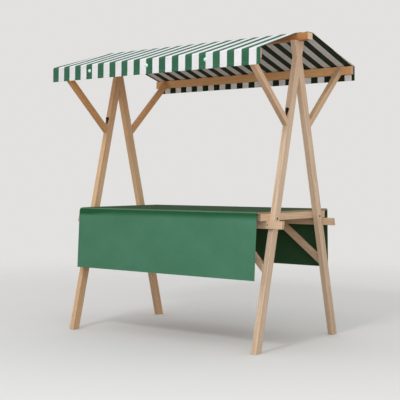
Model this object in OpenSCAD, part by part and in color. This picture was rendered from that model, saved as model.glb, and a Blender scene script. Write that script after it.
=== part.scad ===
// Wooden market stall: two cross-legged trestles carry a ridge beam, two eave
// rails and a counter. A striped canopy hangs over the rails and a cloth over
// the counter. X runs along the stall, Y from front (-) to rear (+), Z up.
// The origin is on the floor, under the middle of the stall. Millimetres.

/* [Overall] */
// Length of the canopy, the ridge beam, the eave rails and the long rails
stall_len = 1800; // [1400:10:2400]
// Depth over the outer faces of the two eave rails
eave_depth = 1184; // [1060:2:1400]
// Height of the top of the ridge beam above the floor
ridge_top = 2055; // [1900:5:2300]
// Rise of the canopy, from the top of the eave rails to the top of the ridge beam
roof_rise = 165; // [100:5:260]

/* [Trestles] */
// Distance from an end of the ridge beam to the outer face of its trestle
trestle_inset = 80; // [20:5:200]
// Distance between the centres of the two feet of a trestle
foot_centres = 960; // [860:10:1080]
// How far the centre line of each leg runs past the middle at its top
cross_past = 27; // [18:1:40]
// Width of a leg in the plane of its trestle
leg_w = 60; // [50:1:80]
// Thickness of a leg and of the eave braces that lie in its plane
leg_t = 38; // [30:1:60]
// Clearance all round the halved crossing of two legs
lap_gap = 0.3; // [0.1:0.1:1]
// Chamfer on the long arrises of every timber
arris = 1.5; // [0.5:0.5:4]

/* [Ridge and eaves] */
// Width of the ridge beam
ridge_w = 60; // [40:1:100]
// Height of the ridge beam
ridge_h = 46; // [40:1:100]
// Thickness of an eave rail
eave_t = 25; // [18:1:40]
// Height of an eave rail
eave_h = 58; // [50:1:90]
// Width of an eave brace in the plane of its trestle
eave_brace_w = 38; // [30:1:50]
// Slope of the eave braces from the level
eave_brace_slope = 43; // [36:1:50]

/* [Counter] */
// Height of the underside of the long rails above the floor
rail_z = 778; // [650:2:900]
// Height of a long rail
rail_h = 50; // [40:1:80]
// Thickness of a long rail
rail_t = 25; // [18:1:40]
// Height of a counter bearer
bearer_h = 46; // [36:1:80]
// Thickness of a counter bearer
bearer_t = 25; // [18:1:40]
// Length of a counter bearer
bearer_len = 800; // [740:2:840]
// Depth of the counter from front to rear
board_depth = 860; // [840:2:920]
// Thickness of the counter planks
board_t = 12; // [9:1:30]
// Number of planks across the counter
plank_count = 6; // [3:1:9]
// Gap between two planks, and between a plank end and a leg
plank_gap = 1; // [0.5:0.5:4]
// Height on the leg where the centre line of a knee brace starts
knee_foot = 520; // [420:5:600]
// Width of a knee brace, seen from the front
knee_w = 38; // [30:1:50]
// Thickness of a knee brace, through the plane of the leg
knee_t = 38; // [25:1:50]
// Slope of the knee braces from the level
knee_slope = 43; // [38:1:55]

/* [Cloth] */
// Thickness of the canopy cloth
canopy_t = 2.5; // [1.5:0.5:4]
// Height of the valance that hangs at each eave
valance_h = 105; // [70:1:160]
// Thickness of the table cloth
cloth_t = 2.5; // [1.5:0.5:4]
// How far the table cloth hangs down at the front
front_drop = 430; // [200:2:600]
// How far the table cloth hangs down at the rear
rear_drop = 410; // [200:2:600]
// How far the front hem of the table cloth stands out from the counter edge
front_hem_out = 32; // [0:1:60]
// How far the rear hem of the table cloth stands out from the counter edge
rear_hem_out = 16; // [0:1:60]
// Clearance between a cloth and the timber that it lies on
cloth_gap = 0.3; // [0.2:0.1:1]

/* [Hooks] */
// Height of each hook above the corner between its leg and the eave brace
hook_up = 57; // [52:1:100]
// Width of the back plate of a hook
plate_w = 26; // [22:1:34]
// Height of the back plate of a hook
plate_h = 56; // [48:1:64]
// Thickness of the back plate of a hook
plate_t = 3; // [2:0.5:5]
// Radius of the lower tip of the back plate
tip_r = 4; // [3:0.5:6]
// Diameter of the arm of a hook
arm_d = 7; // [5:0.5:9]
// Radius of the bend of the arm, to the middle of the arm
bend_r = 13; // [10:1:18]
// Diameter of the ball at the tip of the arm
ball_d = 12; // [10:0.5:16]

/* [Hidden] */
ROWS = ["front", "rear"];
SIDES = ["left", "right"];
CORNERS = [for (row = ROWS, side = SIDES) str(row, "_", side)];

pine = "#d9b184";
shaded_pine = "#b98a58";
stripe_green = "#3c6e51";
cloth_green = "#4d7a5e";
black_steel = "#2b2522";

trestle_x = stall_len / 2 - trestle_inset;
leg_in_x = trestle_x - leg_t;
leg_top = ridge_top - ridge_h;
lean = atan((foot_centres / 2 + cross_past) / leg_top);
leg_run = leg_top / cos(lean);
eave_top = ridge_top - roof_rise;
eave_y = eave_depth / 2;
eave_mid = eave_top - eave_h / 2;
rail_top = rail_z + rail_h;
bearer_top = rail_top + bearer_h;
board_top = bearer_top + board_t;
plank_w = (board_depth - (plank_count - 1) * plank_gap) / plank_count;
over = 5;

// Outer face of a front leg at height z
function leg_out_y(z) = -foot_centres / 2 + z * tan(lean) - leg_w / 2 / cos(lean);

// Height at which the upper edge of an eave brace meets the outer face of its leg
crook_z = (eave_mid + eave_brace_w / 2 / cos(eave_brace_slope)
    - (leg_out_y(0) + eave_y - eave_t) * tan(eave_brace_slope))
    / (1 + tan(lean) * tan(eave_brace_slope));
hook_z = crook_z + hook_up;

function unit(v) = v / norm(v);
function normal(a, b) = unit([a[1] - b[1], b[0] - a[0]]);
function box_points(y0, y1, z0, z1) = [[y0, z0], [y1, z0], [y1, z1], [y0, z1]];

// Outline p with each corner cut back by e along both of its edges
function eased(p, e = arris) = [
    for (i = [0:len(p) - 1])
        let (before = p[(i + len(p) - 1) % len(p)], after = p[(i + 1) % len(p)])
            each [p[i] + e * unit(before - p[i]), p[i] + e * unit(after - p[i])]];

// Corner i of an open path, moved out by t to the left of the path
function mitred(path, i, t) =
    let (last = len(path) - 1,
        n1 = normal(path[max(i - 1, 0)], path[max(i, 1)]),
        n2 = normal(path[min(i, last - 1)], path[min(i + 1, last)]))
            path[i] + t * (n1 + n2) / (1 + n1 * n2);

// Closed outline of a cloth of thickness t that lies along an open path
function cloth_outline(path, t) = concat(
    path,
    [for (i = [len(path) - 1:-1:0]) mitred(path, i, t)]);

module flipped(axis, on) {
    if (on) mirror(axis) children();
    else children();
}

// What is drawn at the front right corner, moved to any corner
module at_corner(corner) {
    flipped([1, 0, 0], corner == "front_left" || corner == "rear_left")
        flipped([0, 1, 0], corner == "rear_left" || corner == "rear_right")
            children();
}

// Outline in Y and Z, drawn out along X about the middle of the stall
module along_x(length) {
    rotate([90, 0, 90])
        linear_extrude(length, center = true)
            children();
}

// Straight timber along Z, centred on its axis
module timber(size_x, size_y, length) {
    linear_extrude(length)
        polygon(eased(box_points(-size_x / 2, size_x / 2, -size_y / 2, size_y / 2)));
}

// Frame of the front right leg: Z along the leg, Y across it, foot at zero
module leg_frame() {
    translate([0, -foot_centres / 2, 0])
        rotate([-lean, 0, 0])
            children();
}

// Front right leg, cut level at the floor and under the ridge beam
module leg_blank() {
    intersection() {
        leg_frame()
            translate([trestle_x - leg_t / 2, 0, -leg_w])
                timber(leg_t, leg_w, leg_run + 2 * leg_w);
        translate([leg_in_x - over, -foot_centres, 0])
            cube([leg_t + 2 * over, 2 * foot_centres, leg_top]);
    }
}

// Room for one half of the crossing leg, from x0 to x1
module lap_cut(x0, x1) {
    mirror([0, 1, 0])
        leg_frame()
            translate([x0, -leg_w / 2 - lap_gap, 0])
                cube([x1 - x0, leg_w + 2 * lap_gap, leg_run + leg_w]);
}

// A front leg keeps the outer half of the crossing and a rear leg the inner half
module leg(corner) {
    keeps_outer = corner == "front_left" || corner == "front_right";
    lap_x = trestle_x - leg_t / 2;
    color(pine)
        at_corner(corner)
            difference() {
                leg_blank();
                if (keeps_outer) lap_cut(leg_in_x - over, lap_x + lap_gap / 2);
                else lap_cut(lap_x - lap_gap / 2, trestle_x + over);
            }
}

module ridge_beam() {
    color(shaded_pine)
        along_x(stall_len)
            polygon(eased(box_points(-ridge_w / 2, ridge_w / 2, leg_top, ridge_top)));
}

module eave_rail(row) {
    color(shaded_pine)
        flipped([0, 1, 0], row == "rear")
            along_x(stall_len)
                polygon(eased(box_points(-eave_y, -eave_y + eave_t, eave_top - eave_h, eave_top)));
}

// Runs from the outer face of a leg, where it is cut to the lean, up to the
// inner face of the eave rail, where it is cut plumb
module eave_brace(corner) {
    rail_y = -eave_y + eave_t;
    color(pine)
        at_corner(corner)
            intersection() {
                translate([trestle_x - leg_t / 2, rail_y, eave_mid])
                    rotate([-90 - eave_brace_slope, 0, 0])
                        translate([0, 0, -2 * eave_brace_w])
                            timber(leg_t, eave_brace_w, eave_depth);
                translate([trestle_x, 0, 0])
                    along_x(4 * leg_t)
                        polygon([[leg_out_y(0), 0], [leg_out_y(leg_top), leg_top],
                            [rail_y, leg_top], [rail_y, 0]]);
            }
}

// Lies on the outer faces of two legs, with its long edges planed level
module long_rail(row) {
    out = rail_t / cos(lean);
    color(shaded_pine)
        flipped([0, 1, 0], row == "rear")
            along_x(stall_len)
                polygon(eased([
                    [leg_out_y(rail_z) - out, rail_z], [leg_out_y(rail_z), rail_z],
                    [leg_out_y(rail_top), rail_top], [leg_out_y(rail_top) - out, rail_top]]));
}

// Lies on the two long rails, against the inner faces of a trestle's legs
module bearer(side) {
    color(pine)
        flipped([1, 0, 0], side == "left")
            translate([leg_in_x - bearer_t / 2, bearer_len / 2, (rail_top + bearer_top) / 2])
                rotate([90, 0, 0])
                    timber(bearer_t, bearer_h, bearer_len);
}

// Stands against the inner face of a leg, in line with its outer side, and
// laps behind the long rail, where it is cut level
module knee_brace(corner) {
    color(shaded_pine)
        at_corner(corner)
            intersection() {
                leg_frame()
                    translate([leg_in_x, (knee_t - leg_w) / 2, knee_foot / cos(lean)])
                        rotate([0, knee_slope - 90, 0])
                            translate([0, 0, -2 * knee_w])
                                timber(knee_w, knee_t, 2 * rail_top);
                translate([0, -foot_centres, 0])
                    cube([leg_in_x, foot_centres, rail_top]);
            }
}

module counter_plank(i) {
    y0 = -board_depth / 2 + (i - 1) * (plank_w + plank_gap);
    color(shaded_pine)
        along_x(2 * (leg_in_x - plank_gap))
            polygon(eased(box_points(y0, y0 + plank_w, bearer_top, board_top)));
}

// One cloth from hem to hem, over both eave rails and the ridge beam
module canopy() {
    y = eave_y + cloth_gap;
    top = eave_top + cloth_gap;
    hem = top + canopy_t - valance_h;
    ridge = ridge_top + cloth_gap;
    path = [[-y, hem], [-y, top], [-ridge_w / 2, ridge], [ridge_w / 2, ridge], [y, top], [y, hem]];
    color(stripe_green)
        along_x(stall_len)
            polygon(cloth_outline(path, canopy_t));
}

// One cloth from hem to hem, over the counter
module tablecloth() {
    y = board_depth / 2 + cloth_gap;
    top = board_top + cloth_gap;
    path = [
        [-y - front_hem_out, top - front_drop], [-y, top],
        [y, top], [y + rear_hem_out, top - rear_drop]];
    color(cloth_green)
        along_x(2 * (leg_in_x - plank_gap))
            polygon(cloth_outline(path, cloth_t));
}

// Drop-shaped back plate, bent arm and ball of a hook on the outer face of a leg
module hook(corner) {
    color(black_steel)
        at_corner(corner)
            leg_frame()
                translate([trestle_x - leg_t / 2, -leg_w / 2, hook_z / cos(lean)])
                    rotate([90, 0, 0]) {
                        hull() {
                            cylinder(h = plate_t, d = plate_w, $fn = 32);
                            translate([0, plate_w / 2 + tip_r - plate_h, 0])
                                cylinder(h = plate_t, r = tip_r, $fn = 32);
                        }
                        translate([0, 0, plate_t / 2]) {
                            rotate([90, 0, 90])
                                rotate([0, 0, 90])
                                    rotate_extrude(angle = 90, $fn = 64)
                                        translate([bend_r, 0])
                                            circle(d = arm_d, $fn = 32);
                            translate([0, 0, bend_r])
                                sphere(d = ball_d, $fn = 48);
                        }
                    }
}

for (c = CORNERS) leg(c);
ridge_beam();
for (row = ROWS) eave_rail(row);
for (c = CORNERS) eave_brace(c);
for (row = ROWS) long_rail(row);
for (side = SIDES) bearer(side);
for (c = CORNERS) knee_brace(c);
for (i = [1:plank_count]) counter_plank(i);
canopy();
tablecloth();
for (c = CORNERS) hook(c);
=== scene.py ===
from math import asin, cos, pi, radians, sin, sqrt, tan

import bmesh
import bpy
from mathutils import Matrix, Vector, noise


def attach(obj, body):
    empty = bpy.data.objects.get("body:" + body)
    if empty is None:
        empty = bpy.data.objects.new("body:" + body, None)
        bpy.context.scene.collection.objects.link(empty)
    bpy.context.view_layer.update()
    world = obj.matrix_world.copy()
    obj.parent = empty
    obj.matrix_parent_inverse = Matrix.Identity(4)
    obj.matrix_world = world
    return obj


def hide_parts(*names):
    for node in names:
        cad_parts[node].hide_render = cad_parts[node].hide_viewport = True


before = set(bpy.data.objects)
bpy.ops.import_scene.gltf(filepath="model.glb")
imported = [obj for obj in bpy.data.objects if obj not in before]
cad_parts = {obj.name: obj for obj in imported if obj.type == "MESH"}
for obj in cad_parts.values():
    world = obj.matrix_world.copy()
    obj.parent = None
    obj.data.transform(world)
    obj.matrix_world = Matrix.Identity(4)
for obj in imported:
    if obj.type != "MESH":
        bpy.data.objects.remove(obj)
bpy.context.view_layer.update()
scene = bpy.context.scene
print("frame loaded with", len(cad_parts), "nodes")

# The stall's own sizes, in metres, as the frame has them
stall = {
    "lean": radians(14.165),      # of a leg, from plumb
    "footY": 0.480,                    # centre line of a foot
    "trestleX": 0.820,                 # outer face of a trestle
    "legHalf": (0.030, 0.019),         # half of a leg across and through
    "braceSlope": radians(43),    # eave and knee braces, from the level
}
leanSin, leanCos, leanTan = (part(stall["lean"]) for part in (sin, cos, tan))


def addObject(name, data):
    thing = bpy.data.objects.new(name, data)
    scene.collection.objects.link(thing)
    return thing


def camelName(node):
    first, *rest = node.split("_")
    return first + "".join(word.capitalize() for word in rest)


# Camera, as the photograph was taken
cameraSettings = {
    "place": (4.0821, -5.3078, 1.1062),
    "turn": 37.637,      # degrees to the right of the front
    "dip": 1.385,        # degrees below the level
    "lens": 84.15,
    "sensor": 36,
    "clip": (0.1, 100),
}


def makeCamera(settings):
    data = bpy.data.cameras.new("camera")
    data.lens, data.sensor_width = settings["lens"], settings["sensor"]
    data.clip_start, data.clip_end = settings["clip"]
    camera = addObject("camera", data)
    camera.location = settings["place"]
    camera.rotation_euler = (radians(90 - settings["dip"]), 0, radians(settings["turn"]))
    scene.camera = camera


makeCamera(cameraSettings)
scene.view_settings.view_transform = "Standard"
print("camera set")


# Helpers for node trees: a value is a socket to link from, or a constant
def setInputs(tree, sockets, values):
    for key, value in values.items():
        if isinstance(value, bpy.types.NodeSocket):
            tree.links.new(value, sockets[key])
        else:
            sockets[key].default_value = value


def addNode(tree, kind, values=None, **traits):
    node = tree.nodes.new(kind)
    for key, value in traits.items():
        setattr(node, key, value)
    setInputs(tree, node.inputs, values or {})
    return node


def newTree(kind, name, inputs, outputs):
    tree = bpy.data.node_groups.new(name, kind)
    for way, sockets in (("INPUT", inputs), ("OUTPUT", outputs)):
        for label, sort in sockets.items():
            tree.interface.new_socket(label, in_out=way, socket_type="NodeSocket" + sort)
    return tree, tree.nodes.new("NodeGroupInput").outputs, tree.nodes.new("NodeGroupOutput").inputs


def mathNode(tree, operation, *terms, clamp=False):
    return addNode(tree, "ShaderNodeMath", dict(enumerate(terms)), operation=operation, use_clamp=clamp).outputs[0]


def times(tree, first, second):
    return mathNode(tree, "MULTIPLY", first, second)


def timesPlus(tree, value, factor, more):
    return mathNode(tree, "MULTIPLY_ADD", value, factor, more)


def minus(tree, first, second):
    return mathNode(tree, "SUBTRACT", first, second)


def vectorNode(tree, operation, *terms):
    node = addNode(tree, "ShaderNodeVectorMath", dict(enumerate(terms)), operation=operation)
    return node.outputs["Value" if operation in ("LENGTH", "DOT_PRODUCT") else "Vector"]


def separate(tree, vector):
    return addNode(tree, "ShaderNodeSeparateXYZ", {0: vector}).outputs


def stepNode(tree, value, low, high, to=(0.0, 1.0), smooth=True):
    return addNode(tree, "ShaderNodeMapRange", {
        "Value": value, "From Min": low, "From Max": high, "To Min": to[0], "To Max": to[1]},
        interpolation_type="SMOOTHSTEP" if smooth else "LINEAR").outputs[0]


def mixColor(tree, factor, first, second, blend="MIX"):
    values = {0: factor, 6: first, 7: second}
    return addNode(tree, "ShaderNodeMix", values, data_type="RGBA", blend_type=blend).outputs[2]


def tintColor(tree, color, red, green, blue):
    tint = addNode(tree, "ShaderNodeCombineColor", {0: red, 1: green, 2: blue}).outputs[0]
    return mixColor(tree, 1.0, color, tint, "MULTIPLY")


def noiseNode(tree, vector, scale=1.0, detail=2.0, roughness=0.5, output=0):
    return addNode(tree, "ShaderNodeTexNoise", {
        "Vector": vector, "Scale": scale, "Detail": detail, "Roughness": roughness}).outputs[output]


def chanceNode(tree, seed):
    return addNode(tree, "ShaderNodeTexWhiteNoise", {"W": seed}, noise_dimensions="1D").outputs


def groupNode(tree, group, values):
    return addNode(tree, "ShaderNodeGroup", values, node_tree=group).outputs


def attributeNode(tree, name):
    return addNode(tree, "ShaderNodeAttribute", attribute_name=name).outputs["Vector"]


def objectPlace(tree):
    return addNode(tree, "ShaderNodeTexCoord").outputs["Object"]


def bumpNode(tree, height, distance):
    return addNode(tree, "ShaderNodeBump", {"Height": height, "Distance": distance, "Strength": 1.0}).outputs[0]


# 1 where a surface is looked at, straight or in a reflection, and 0 where it only gives back light
def seenNode(tree):
    path = addNode(tree, "ShaderNodeLightPath").outputs
    seen = mathNode(tree, "MAXIMUM", path["Is Camera Ray"], path["Is Glossy Ray"])
    return mathNode(tree, "MAXIMUM", seen, path["Is Transmission Ray"])


def linear(red, green, blue):
    def part(value):
        value /= 255
        return value / 12.92 if value <= 0.04045 else ((value + 0.055) / 1.055) ** 2.4
    return (part(red), part(green), part(blue), 1.0)


# Solid pine, read from each timber's own coordinates: across, through, along
pineFigure = {
    "pith": (0.050, 0.035),          # distance from the timber's middle: what chance adds, and the least
    "pithAlong": 17.0,
    "driftGrid": (5.0, 0.9, 2.0),    # how the rings wander: scale across and along, and detail
    "drift": 0.030,
    "late": (0.35, 0.90, 0.93),      # where in a ring the late wood starts, is full and ends
    "lateVary": (0.6, 0.4),          # from ring to ring: what chance adds, and the least
    # fibres, streaks and broad shades: scale across and along, detail, and share in the color
    "noises": ((700.0, 11.0, 2.0, 0.40), (110.0, 2.0, 3.0, 0.85), (28.0, 0.8, 2.0, 0.75)),
    "depth": 0.30,                   # of the late color where nothing else speaks
    "endFacing": (0.55, 0.68),       # how far a face looks along the timber, for end grain
    "tone": (0.93, 1.04),            # from timber to timber
    "endRings": (0.55, 0.08),
    "roughness": (0.16, 0.46),       # what the fibres add, and the least
    "endRoughness": 0.18,
    "relief": (0.6, 0.4),            # of the fibres and of the late wood
}


def makePineGroup(figure):
    group, give, take = newTree("ShaderNodeTree", "pineFigure", {
        "Place": "Vector", "Timber": "Vector", "Axis": "Vector", "Pale": "Color", "Late": "Color",
        "End Pale": "Color", "End Late": "Color", "Ring Spacing": "Float", "Figure": "Float"},
        {"Color": "Color", "Roughness": "Float", "Height": "Float", "End Grain": "Float"})
    pick = separate(group, chanceNode(group, separate(group, give["Timber"])[2])["Color"])
    turn = times(group, pick[0], 2 * pi)
    reach = timesPlus(group, pick[1], *figure["pith"])
    pith = addNode(group, "ShaderNodeCombineXYZ", {
        0: times(group, mathNode(group, "COSINE", turn), reach),
        1: times(group, mathNode(group, "SINE", turn), reach),
        2: times(group, pick[2], figure["pithAlong"])}).outputs[0]
    place = vectorNode(group, "ADD", give["Place"], pith)

    def grainNoise(across, along, detail, output=0):
        stretched = vectorNode(group, "MULTIPLY", place, (across, across, along))
        return noiseNode(group, stretched, detail=detail, output=output)

    drift = vectorNode(group, "SUBTRACT", grainNoise(*figure["driftGrid"], output=1), (0.5, 0.5, 0.5))
    drift = vectorNode(group, "MULTIPLY", drift, (figure["drift"], figure["drift"], 0.0))
    bent = vectorNode(group, "MULTIPLY", vectorNode(group, "ADD", place, drift), (1.0, 1.0, 0.0))
    phase = mathNode(group, "DIVIDE", vectorNode(group, "LENGTH", bent), give["Ring Spacing"])
    ring = mathNode(group, "FRACT", phase)
    start, full, end = figure["late"]
    late = times(group, stepNode(group, ring, start, full), stepNode(group, ring, 1.0, end))
    vary = chanceNode(group, mathNode(group, "FLOOR", phase))["Value"]
    late = times(group, late, timesPlus(group, vary, *figure["lateVary"]))
    amount, noises = times(group, late, give["Figure"]), []
    for *grid, share in figure["noises"]:
        noises.append(grainNoise(*grid))
        amount = mathNode(group, "ADD", amount, timesPlus(group, noises[-1], share, -0.5 * share))
    amount = mathNode(group, "ADD", amount, figure["depth"], clamp=True)
    normal = addNode(group, "ShaderNodeNewGeometry").outputs["True Normal"]
    facing = mathNode(group, "ABSOLUTE", vectorNode(group, "DOT_PRODUCT", normal, give["Axis"]))
    endGrain = stepNode(group, facing, *figure["endFacing"])
    tone = stepNode(group, pick[1], 0.0, 1.0, figure["tone"], smooth=False)
    color = mixColor(group, amount, give["Pale"], give["Late"])
    color = tintColor(group, color, tone, tone, times(group, tone, tone))
    ends = mixColor(group, timesPlus(group, late, *figure["endRings"]), give["End Pale"], give["End Late"])
    rough = timesPlus(group, noises[0], *figure["roughness"])
    fibreRelief, lateRelief = figure["relief"]
    setInputs(group, take, {
        "Color": mixColor(group, endGrain, color, ends), "End Grain": endGrain,
        "Roughness": timesPlus(group, endGrain, figure["endRoughness"], rough),
        "Height": timesPlus(group, noises[0], fibreRelief, times(group, late, lateRelief))})
    return group


# How close a point is to a long arris of its timber, worn unevenly
arrisWear = {
    "edge": (1.0, 0.2),                # in widths of the wear, where it starts and is full
    "patchGrid": (90.0, 90.0, 24.0),
    "patches": (0.38, 0.60),
}


def makeArrisGroup(wear):
    group, give, take = newTree(
        "ShaderNodeTree", "arrisWear", {"Place": "Vector", "Timber": "Vector", "Width": "Float"}, {"Mask": "Float"})
    place, half = separate(group, give["Place"]), separate(group, give["Timber"])
    near = []
    for axis in (0, 1):
        gap = minus(group, half[axis], mathNode(group, "ABSOLUTE", place[axis]))
        near.append(stepNode(group, mathNode(group, "DIVIDE", gap, give["Width"]), *wear["edge"]))
    patchy = noiseNode(group, vectorNode(group, "MULTIPLY", give["Place"], wear["patchGrid"]), detail=3.0)
    worn = stepNode(group, patchy, *wear["patches"])
    setInputs(group, take, {"Mask": times(group, times(group, *near), worn)})
    return group


# Plain weave with uneven threads; a cloth's coordinates are X, then along the cloth, in metres
clothNoises = {
    "warp": (420.0, 16.0, 2.0, 0.5),    # scale in X and along the cloth, detail and roughness
    "weft": (16.0, 420.0, 2.0, 0.5),
    "fade": (3.0, 4.0, 4.0, 0.6),
}


def makeWeaveGroup(noises):
    group, give, take = newTree("ShaderNodeTree", "plainWeave", {"Place": "Vector", "Thread": "Float"},
                                {"Height": "Float", "Slub": "Float", "Fade": "Float"})
    place = separate(group, give["Place"])
    across, along = (
        mathNode(group, "SINE", mathNode(group, "DIVIDE", times(group, place[axis], pi), give["Thread"]))
        for axis in (0, 1))

    def clothNoise(name):
        scaleX, scaleAlong, detail, roughness = noises[name]
        stretched = vectorNode(group, "MULTIPLY", give["Place"], (scaleX, scaleAlong, 0.0))
        return noiseNode(group, stretched, detail=detail, roughness=roughness)

    slub = mathNode(group, "ADD", clothNoise("warp"), clothNoise("weft"))
    setInputs(group, take, {
        "Height": timesPlus(group, times(group, across, along), 0.5, 0.5), "Slub": minus(group, slub, 1.0),
        "Fade": minus(group, clothNoise("fade"), 0.5)})
    return group


# Cloudy wear and dust that several finishes share, on object coordinates
scuffing = {"fine": 9.0, "mask": (0.22, 0.36)}


def makeScuffGroup(settings):
    group, give, take = newTree("ShaderNodeTree", "scuffs", {"Place": "Vector", "Scale": "Float"},
                                {"Mask": "Float", "Cloud": "Float"})
    cloud = noiseNode(group, give["Place"], give["Scale"], detail=4.0, roughness=0.6)
    fine = noiseNode(group, give["Place"], times(group, give["Scale"], settings["fine"]), detail=2.0)
    setInputs(group, take, {"Mask": stepNode(group, times(group, cloud, fine), *settings["mask"]), "Cloud": cloud})
    return group


pineGroup = makePineGroup(pineFigure)
arrisGroup = makeArrisGroup(arrisWear)
weaveGroup = makeWeaveGroup(clothNoises)
scuffGroup = makeScuffGroup(scuffing)
print("shader groups built")


def newMaterial(name):
    material = bpy.data.materials.new(name)
    material.use_nodes = True
    tree = material.node_tree
    return material, tree, tree.nodes["Principled BSDF"].inputs


# Pale and late wood along the grain and on the ends, its rings, and a painted shade that tints the upper timbers
# warmer and darker under the canopy
pineCommon = {
    "ends": ((202, 178, 152), (168, 134, 100)), "rings": 0.0048, "figure": 0.42,
    "amber": (236, 190, 140), "ambered": 0.20, "amberZ": (1.15, 1.85),
    "arris": (0.0035, 0.35, (242, 222, 194)),    # width of the wear, its strength and its color
    "soil": (5.0, 0.10, (150, 112, 76)),         # scale, strength and color
    "polish": -0.10,                             # what worn arrises add to the roughness
    "shine": 0.32,
    "relief": 0.00025,
}
pineFinishes = {
    "palePine": {"pale": (232, 211, 191), "late": (196, 159, 124), "ends": ((226, 204, 180), (188, 152, 116)),
                 "figure": 0.40, "amber": (214, 172, 128)},
    # painted shade: the left legs and the left eave brace are warmer copies of the right ones, for the warm shade on
    # the left
    "warmPine": {"pale": (240, 206, 172), "late": (204, 155, 110), "ends": ((222, 194, 160), (186, 146, 106)),
                 "amber": (250, 208, 150), "ambered": 0.30},
    "amberPine": {"pale": (236, 188, 136), "late": (200, 140, 86), "amber": (250, 208, 150), "ambered": 0.30},
    "bracePine": {"pale": (229, 204, 176), "late": (193, 152, 112), "ambered": 0.25},
    "railPine": {"pale": (229, 204, 177), "late": (193, 153, 114), "figure": 0.40,
                 "amber": (205, 156, 108), "ambered": 0.30},
    # painted shade: the eave rails and the ridge are darker and warmer along their faces, for the shade under the
    # canopy, and their lighter ends are painted light
    "eavePine": {"pale": (245, 199, 145), "late": (212, 155, 101), "ends": ((196, 172, 150), (160, 134, 110)),
                 "rings": 0.0042, "figure": 0.44},
    "ridgePine": {"pale": (194, 136, 86), "late": (166, 108, 59), "ends": ((232, 208, 174), (198, 166, 128)),
                  "rings": 0.0042, "figure": 0.44, "ambered": 0.10},
    # the planks' ends are darker: partly end grain, partly painted shade under the cloth's hem
    "plankPine": {"pale": (216, 183, 146), "late": (182, 139, 96), "ends": ((165, 139, 111), (139, 105, 71)),
                  "rings": 0.0054, "figure": 0.50, "amber": (196, 150, 104), "ambered": 0.0},
}


def makePine(name, finish):
    material, tree, shader = newMaterial(name)
    place, timber, axis = (attributeNode(tree, key) for key in ("timberPlace", "timberFacts", "timberAxis"))
    spot = objectPlace(tree)
    endPale, endLate = finish["ends"]
    grain = groupNode(tree, pineGroup, {
        "Place": place, "Timber": timber, "Axis": axis, "Pale": linear(*finish["pale"]),
        "Late": linear(*finish["late"]), "End Pale": linear(*endPale), "End Late": linear(*endLate),
        "Ring Spacing": finish["rings"], "Figure": finish["figure"]})
    width, strength, tint = finish["arris"]
    wear = groupNode(tree, arrisGroup, {"Place": place, "Timber": timber, "Width": width})["Mask"]
    color = mixColor(tree, times(tree, wear, strength), grain["Color"], linear(*tint))
    scale, strength, tint = finish["soil"]
    soil = groupNode(tree, scuffGroup, {"Place": spot, "Scale": scale})["Mask"]
    color = mixColor(tree, times(tree, soil, strength), color, linear(*tint))
    # painted shade: up under the canopy the wood is tinted warmer and darker with height, except on end grain
    ambered = stepNode(tree, separate(tree, spot)[2], *finish["amberZ"], (0.0, finish["ambered"]))
    ambered = times(tree, ambered, minus(tree, 1.0, grain["End Grain"]))
    amber = mixColor(tree, 1.0, color, linear(*finish["amber"]), "MULTIPLY")
    setInputs(tree, shader, {
        "Base Color": mixColor(tree, ambered, color, amber),
        "Roughness": timesPlus(tree, wear, finish["polish"], grain["Roughness"]),
        "Specular IOR Level": finish["shine"], "Normal": bumpNode(tree, grain["Height"], finish["relief"])})
    return material


pineMaterials = {name: makePine(name, {**pineCommon, **finish}) for name, finish in pineFinishes.items()}
print("pine finishes built")


def newPiece(name, mesh, materials=(), slot=None):
    piece = addObject(name, mesh)
    for material in materials:
        mesh.materials.append(material)
    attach(piece, "root")
    return piece


# Sharp is the angle in degrees past which an edge of a smooth shape stays sharp
def meshFrom(bm, name, sharp=None):
    if sharp:
        for facet in bm.faces:
            facet.smooth = True
    mesh = bpy.data.meshes.new(name)
    bm.normal_update()
    bm.to_mesh(mesh)
    bm.free()
    if sharp:
        mesh.set_sharp_from_angle(angle=radians(sharp))
    return mesh


def setVectors(mesh, name, values):
    layer = mesh.attributes.new(name, "FLOAT_VECTOR", "POINT")
    layer.data.foreach_set("vector", [part for value in values for part in value])


# Timbers: each takes the CAD solid's outline, gets rounded arrises and knows its own grain
timberFinish = {
    "merge": (1e-5, 1e-6),                      # points closer than this are one, before and after the bevels
    "flat": radians(0.5),                  # faces that meet at less are one face
    "sharp": radians(20),                  # and an arris has at least this
    "arris": {"offset": 0.0007, "segments": 2},
    "easedNode": "counter_plank_1",             # its left end is rounded over, under the cloth
    "eased": {"offset": 0.0112, "segments": 6},
    "near": 1e-4,
    "seeds": (3.0, 1.37),                       # the first, and the step from node to node
    # the finish on the left and on the right, and the material slot; where they differ, the left one is a copy with
    # painted warm shade
    "finishes": {
        "leg": ("warmPine", "palePine", "pine"), "eave_brace": ("amberPine", "bracePine", "pine"),
        "ridge": ("ridgePine", "ridgePine", "shaded_pine"), "eave_rail": ("eavePine", "eavePine", "shaded_pine"),
        "long": ("railPine", "railPine", "pine"), "bearer": ("railPine", "railPine", "pine"),
        "knee": ("railPine", "railPine", "shaded_pine"), "counter": ("plankPine", "plankPine", "plank")},
}


def timberAxes(node):
    side = -1 if "left" in node else 1
    row = 1 if "rear" in node else -1
    upLeg = Vector((0, -row * leanSin, leanCos))
    acrossX = Vector((1, 0, 0))
    if node.startswith("leg"):
        return upLeg, upLeg.cross(acrossX)
    slope = stall["braceSlope"]
    if node.startswith("eave_brace"):
        along = Vector((0, row * cos(slope), sin(slope)))
        return along, along.cross(acrossX)
    if node.startswith("knee"):
        along = Vector((-side * cos(slope), 0, 0)) + upLeg * sin(slope)
        return along, upLeg.cross(acrossX)
    if node.startswith("bearer"):
        return Vector((0, 1, 0)), Vector((0, 0, 1))
    return acrossX, Vector((0, 0, 1))


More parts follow.
